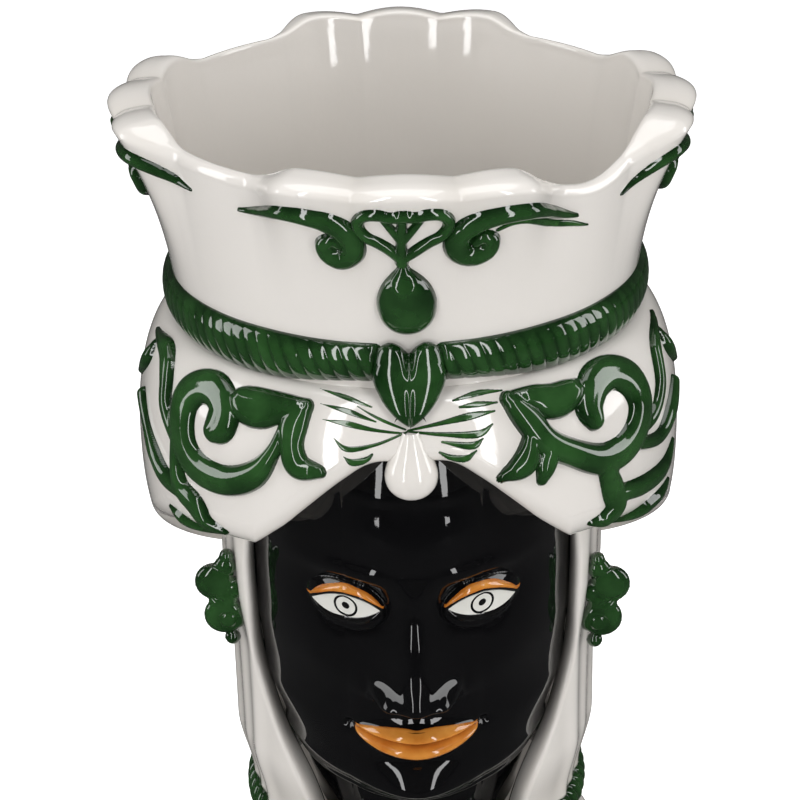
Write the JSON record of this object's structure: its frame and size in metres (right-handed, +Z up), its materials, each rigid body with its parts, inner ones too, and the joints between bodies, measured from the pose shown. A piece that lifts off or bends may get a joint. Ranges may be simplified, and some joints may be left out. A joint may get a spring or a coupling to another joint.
{
  "type": "face vase",
  "caption": "Glazed ceramic head vase with a turban, rope bands, scroll reliefs and an open crown for flowers.",
  "frame": {"origin": "centre of the underside of the base, where the vase stands", "axes": "+Z up along the vase's axis, the face looks along -Y, +X is the picture's right"},
  "size_m": [0.22, 0.22, 0.3545],
  "materials": {
    "white_glaze": "gloss off-white glaze",
    "green_glaze": "gloss green glaze",
    "black_glaze": "gloss black glaze"
  },
  "bodies": {
    "root": {"base": "white_glaze", "collar_rope": "green_glaze", "face": "black_glaze", "drape": "white_glaze", "turban": "white_glaze", "forehead_knot": "white_glaze", "crown_cup": "white_glaze", "rope_band_left": "green_glaze", "rope_band_right": "green_glaze", "band_leaf": "green_glaze", "turban_scroll_left": "green_glaze", "turban_scroll_right": "green_glaze", "turban_low_stroke_left": "green_glaze", "turban_low_stroke_right": "green_glaze", "turban_far_leaf_left": "green_glaze", "turban_far_leaf_right": "green_glaze", "earring_left": "green_glaze", "earring_right": "green_glaze", "front_drop": "green_glaze", "front_scroll_left": "green_glaze", "front_scroll_right": "green_glaze", "front_bow": "green_glaze", "right_scroll_left": "green_glaze", "right_scroll_right": "green_glaze", "right_bow": "green_glaze", "back_scroll_left": "green_glaze", "back_scroll_right": "green_glaze", "back_bow": "green_glaze", "left_scroll_left": "green_glaze", "left_scroll_right": "green_glaze", "left_bow": "green_glaze"}
  },
  "joints": []
}
